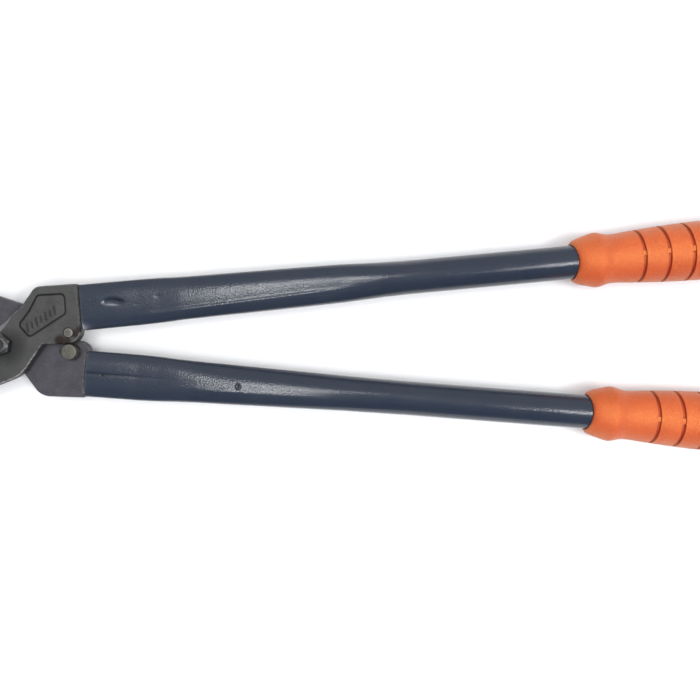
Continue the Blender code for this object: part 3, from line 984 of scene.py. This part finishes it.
def tube_surface(handle, distance, inset, sides):
    """One ring of the tube: across and up, with the marks that the press left in its top."""
    stations, widths = zip(*handle.widths)
    width = float(np.interp(distance, stations, widths))
    flat = (width - TUBE_RADIUS) / (FLAT_HALF_WIDTH - TUBE_RADIUS)
    height = TUBE_RADIUS + (FLAT_HALF_HEIGHT - TUBE_RADIUS) * flat
    power = 2 / (2 + (FLAT_SQUARENESS - 2) * flat)
    turns = 2 * np.pi * np.arange(1441) / 1440
    across = np.sign(np.cos(turns)) * np.abs(np.cos(turns)) ** power * (width - inset)
    up = np.sign(np.sin(turns)) * np.abs(np.sin(turns)) ** power * (height - inset)
    walked = np.concatenate([[0], np.cumsum(np.hypot(np.diff(across), np.diff(up)))])
    even = walked[-1] * np.arange(sides) / sides
    across, up = np.interp(even, walked, across), np.interp(even, walked, up)
    if inset == 0:
        share = smooth(up / (0.5 * height))
        marks = upper_marks if handle is UPPER else lower_marks
        up = up + share * marks(distance, across)
    return across, up


def oval(distance, across, centre, size, turn=0.0):
    """1 at the middle of an oval mark, falling to 0 outside it."""
    x = distance - centre[0]
    y = across - centre[1]
    along = (x * math.cos(turn) + y * math.sin(turn)) / size[0]
    beside = (y * math.cos(turn) - x * math.sin(turn)) / size[1]
    return np.exp(-(along ** 2 + beside ** 2) * 2)


def upper_marks(distance, across):
    """A dent, two nicks and a pressed ridge that leans with the flattened part."""
    dent = smooth(1.6 * oval(distance, across, DENT_PLACE, (7.5, 2.9), DENT_TURN))
    nicks = sum(oval(distance, across, place, size) for place, size in NICK_PLACES)
    crest = -9.2 + 0.034 * (distance - 58)
    reach = np.where(across < crest, 4.0, 1.8)
    fade = smooth((distance - 30) / 40) * smooth((205 - distance) / 50)
    ridge = bell(across - crest, reach) * fade
    lean = 0.04 * across * smooth((88 - distance) / 60)
    return lean + 0.58 * ridge - dent - 0.35 * nicks


def lower_marks(distance, across):
    """A fold from the mouth, a dot on it, a round blemish, and a lean beyond them."""
    fold = bell(across - FOLD_ACROSS, 0.9) * smooth(1 - distance / 66)
    dot = oval(distance, across, DOT_PLACE, (1.1, 0.9))
    spot = np.hypot(distance - RING_PLACE[0], across - RING_PLACE[1])
    ring = bell(spot - RING_RADIUS, 0.5) - bell(spot, 0.9)
    fade = smooth((distance - 55) / 45) * smooth((215 - distance) / 60)
    ridge = bell(across + 4.8, 2.2) * fade
    return -0.11 * across * fade + 0.25 * ridge + 0.3 * ring - 0.3 * fold - 0.4 * dot


def upper_finish(distance, across):
    """Bare metal, painted highlights and painted shade on the upper tube: the worn corner with a
    painted highlight, a painted highlight on the dent's lip, a bare nick, and painted shade in
    the dent.
    """
    near_mouth = math.exp(-(distance - MOUTH_START) / 2.0)
    corner = bell(across + 14.5, 2.5) * near_mouth
    lip_highlight = oval(distance, across, (21.5, -0.3), (6.0, 0.9), DENT_TURN)
    nick = oval(distance, across, (54.1, 1.8), (0.8, 1.2))
    shade = oval(distance, across, (26.0, 2.6), (7.5, 1.7), DENT_TURN)
    return 0.7 * corner, 0.55 * lip_highlight + 0.4 * nick, 0.7 * shade


def lower_finish(distance, across):
    """Bare metal and shade on the lower tube: only its marks are dark."""
    spot = np.hypot(distance - RING_PLACE[0], across - RING_PLACE[1])
    ring = bell(spot - RING_RADIUS, 0.45)
    dot = oval(distance, across, DOT_PLACE, (1.3, 1.0))
    fold = bell(across - FOLD_ACROSS - 0.1, 0.7) * smooth(1 - distance / 62)
    return 0.0, 0.0, np.minimum(ring + dot + 0.45 * fold, 1.0)


def tube_stations(length):
    """Distances of the outer rings, closer together near the mouth and the round blemish."""
    close = RING_PLACE[0] - 8.5, RING_PLACE[0] + 8.5
    stations = [MOUTH_START + RIM_CHAMFER + 0.5 * i for i in range(70)]
    stations += [35.5 + 1.5 * i for i in range(130)]
    stations = [d for d in stations if not close[0] < d < close[1]]
    stations += [close[0] + 0.5 + 0.4 * i for i in range(41)]
    stations += [232.0 + 12.0 * i for i in range(int((length - 236) / 12))]
    return sorted(stations) + [length]


def build_tube(handle, material):
    """A painted tube, pressed flat at its mouth and round where the grip covers it."""
    finish = upper_finish if handle is UPPER else lower_finish
    length = handle.grip + GRIP_BORE_DEPTH - handle.mouth - 1.0
    bore = [length, length - 2, 200.0, 120.0, 80.0, 60.0, 40.0, 20.0, 3.0, MOUTH_START + 0.3]
    stations = [(MOUTH_START, TUBE_WALL - RIM_CHAMFER), (MOUTH_START, RIM_CHAMFER)]
    stations += [(d, 0.0) for d in tube_stations(length)] + [(d, TUBE_WALL) for d in bore]
    rings, wear_and_highlight, shade_and_seam = [], [], []
    for distance, inset in stations:
        across, up = tube_surface(handle, distance, inset, TUBE_SIDES)
        rings.append([(distance, a, u) for a, u in zip(across, up)])
        if inset == TUBE_WALL:
            wear_and_highlight.append(np.zeros(TUBE_SIDES))
            shade_and_seam.append(np.zeros(TUBE_SIDES))
            continue
        # The corner and the dent's lip take painted highlights with the wear, and the dents take
        # painted shade
        rim, bare_and_highlight, shade = finish(distance, across)
        edge = 0.12 * math.exp(-(distance - MOUTH_START) / 0.5)
        wear_and_highlight.append(edge + rim + np.where(up > 0, bare_and_highlight, 0.0))
        shade_and_seam.append(np.where(up > 0, shade, 0.0))
    vertices, faces = lofted(rings, loop=True)
    name = handle.name + "_handle_tube"
    tube = piece_from(
        name + "_painted", vertices, faces, handle.body, material,
        place_of(along_handle(handle, handle.mouth)), handle.angle)
    add_attribute(tube, "wear_and_highlight", np.concatenate(wear_and_highlight))
    add_attribute(tube, "shade_and_seam", np.concatenate(shade_and_seam))
    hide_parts(name)


# ---- grips

def grip_radius(from_mouth):
    """Radii of the sleeve, with the profile's corners softened away from its ends."""
    radii = np.interp(from_mouth, *zip(*GRIP_PROFILE))
    kernel = np.array([1, 2, 3, 2, 1]) / 9
    radii[6:-3] = np.convolve(np.pad(radii, 2, "edge"), kernel, "valid")[6:-3]
    return radii


def mouth_sag(distance, turns):
    """The mouth is hollowed on its top and bottom."""
    return MOUTH_HOLLOW * (1 - smooth(distance / MOUTH_REACH)) * np.sin(turns) ** 2


def groove_shift(turns):
    """The grooves lean a little towards the mouth on the side that faces away."""
    return -GROOVE_BEND * (np.cos(turns) + 1 - np.sin(turns))


def grip_stations(grooves):
    """Distances of the outer rings, with sets of their own across each groove."""
    stations = [0.0, 0.15, 0.3, 0.6] + [1.0 + 0.75 * i for i in range(182)]
    stations += [GRIP_LENGTH - 0.8, GRIP_LENGTH - 0.3, GRIP_LENGTH]
    for middle in grooves:
        stations = [s for s in stations if abs(s - middle) > GROOVE_WIDTH / 2 + 0.9]
        for offset in (0.4, 0.75, 0.9, 1.05, 1.2, 1.45, 1.9):
            stations += [middle - offset, middle + offset]
        stations.append(middle)
    return np.array(sorted(stations))


def build_grip(handle, material):
    """A vinyl sleeve with five C-shaped grooves, each bridged by a small tab on the top line."""
    grooves = [GROOVE_FIRST + GROOVE_PITCH * i for i in range(GROOVE_COUNT)]
    stations = grip_stations(grooves)
    turns = 2 * np.pi * np.arange(GRIP_SIDES) / GRIP_SIDES
    from_top = np.abs(turns - np.pi / 2)
    top_lobe = smooth((TAB_HALF_TURN - from_top) / 0.03 + 0.5)
    bend = groove_shift(turns)
    bent = smooth((stations - 32) / 10) * smooth((130 - stations) / 10)
    rings, shade_and_seam = [], []

    def add_ring(distance, radius, shade):
        places = distance + np.zeros(GRIP_SIDES)
        radius = radius + np.zeros(GRIP_SIDES)
        rings.append(list(zip(places, radius * np.cos(turns), radius * np.sin(turns))))
        shade_and_seam.extend(np.clip(shade + np.zeros(GRIP_SIDES), 0, 1))

    for distance, radius, share in zip(stations, grip_radius(stations), bent):
        depth = np.zeros(GRIP_SIDES)
        tab = np.zeros(GRIP_SIDES)
        for middle in grooves:
            offset = distance - middle
            depth += GROOVE_DEPTH * smooth((GROOVE_WIDTH / 2 - abs(offset)) / 0.3 + 0.5)
            tab += top_lobe * smooth((TAB_HALF_LENGTH - abs(offset + TAB_OFFSET)) / 0.25 + 0.5)
        depth = depth * (1 - tab) - TAB_RISE * tab
        place = distance + bend * share + mouth_sag(distance, turns)
        # The grooves get painted shade by their depth
        add_ring(place, radius - depth, depth / GROOVE_DEPTH)
    for radius in (12.0, 6.0, 0.02):
        add_ring(GRIP_LENGTH, radius, 0.0)
    bore = [
        (GRIP_BORE_DEPTH, 0.02), (GRIP_BORE_DEPTH, GRIP_BORE), (60.0, GRIP_BORE),
        (3.0, GRIP_BORE), (0.4, GRIP_BORE), (0.05, GRIP_BORE + 0.2),
    ]
    for distance, radius in bore:
        # The bore gets painted shade
        add_ring(distance + mouth_sag(distance, turns), radius, 0.5)
    vertices, faces = lofted(rings, loop=True)
    grip = piece_from(
        handle.name + "_grip_vinyl", vertices, faces, handle.body, material,
        place_of(along_handle(handle, handle.grip)), handle.angle)
    add_attribute(grip, "shade_and_seam", shade_and_seam)
    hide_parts(handle.name + "_grip")


# ---- stage, light and camera

def build_floor():
    mesh = bpy.data.meshes.new("floor")
    half = FLOOR_HALF_SIZE
    corners = [(-half, -half, 0), (half, -half, 0), (half, half, 0), (-half, half, 0)]
    mesh.from_pydata(corners, [], [(0, 1, 2, 3)])
    floor = new_object("floor", mesh)
    nodes = Nodes(bpy.data.materials.new("floor_white"))
    tone = nodes.span(nodes.noise(3, 2), 0.3, 0.7)
    mesh.materials.append(nodes.surface(
        nodes.mix(tone, *FLOOR), nodes.span(tone, 0, 1, 0.6, 0.65), Specular_IOR_Level=0.2))


def area_light(name, place, target, size, power):
    light = bpy.data.lights.new(name, "AREA")
    light.shape = "RECTANGLE"
    light.size, light.size_y = size
    light.energy = power
    obj = new_object(name, light)
    obj.location = place
    direction = Vector(target) - Vector(place)
    obj.rotation_euler = direction.to_track_quat("-Z", "Y").to_euler()
    return obj


def build_world():
    """A soft room, paler on the +Y side and a dim blue on the -Y side."""
    nodes = Nodes(bpy.data.worlds.new("room"), "Background")
    direction = nodes.add("ShaderNodeTexCoord").outputs["Generated"]
    split = nodes.add("ShaderNodeSeparateXYZ")
    nodes.join(direction, split.inputs["Vector"])
    tone = nodes.mix(nodes.span(split.outputs["Y"], -0.35, 0.20), ROOM_DIM, ROOM_PALE)
    nodes.join(tone, nodes.shader.inputs["Color"])
    nodes.shader.inputs["Strength"].default_value = ROOM_STRENGTH
    bpy.context.scene.world = nodes.owner


def build_lights():
    """Two small ceiling lamps for the highlights, and soft light that only shades."""
    area_light("ceiling_left", (-0.28, 0.26, 1.52), (-0.1, 0.05, 0), (0.46, 0.07), 4.0)
    area_light("ceiling_right", (0.80, -0.22, 1.50), (0.2, 0.05, 0), (0.40, 0.16), 9.0)
    overhead = area_light("overhead", (0.25, -0.30, 1.6), (0, 0, 0), (1.6, 1.6), 36.0)
    overhead.visible_glossy = False


def build_camera():
    """Straight overhead, with the top of the picture towards +Y."""
    camera = bpy.data.cameras.new("overhead")
    camera.sensor_width = 36.0
    camera.lens = 36.73
    camera.clip_start = 0.01
    obj = new_object("overhead", camera)
    obj.location = PIVOT + Vector((0.2397, -0.0035, 0.5000))
    bpy.context.scene.camera = obj


def build_scene():
    blade_steels = (
        blade_material("blade_steel_front", OXIDE_FRONT, RUST_FRONT),
        blade_material("blade_steel_rear", OXIDE_REAR, RUST_REAR))
    pin_steel = steel_material("pin_steel", PIN_STEEL, 0.5, 0.5)
    fastener_steel = steel_material("fastener_steel", FASTENER_STEEL, 0.42, 0.85)
    nylon = nylon_material()
    paint = paint_material()
    vinyl = vinyl_material()
    for handle, steel in zip((UPPER, LOWER), blade_steels):
        BladeShape(handle).build(steel)
        build_tang(handle, steel)
        build_stop_pin(handle, pin_steel)
        build_tube(handle, paint)
        build_grip(handle, vinyl)
    build_pivot(UPPER.body, fastener_steel, nylon)
    build_floor()
    build_world()
    build_lights()
    build_camera()
    bpy.context.scene.view_settings.view_transform = "Standard"


build_scene()
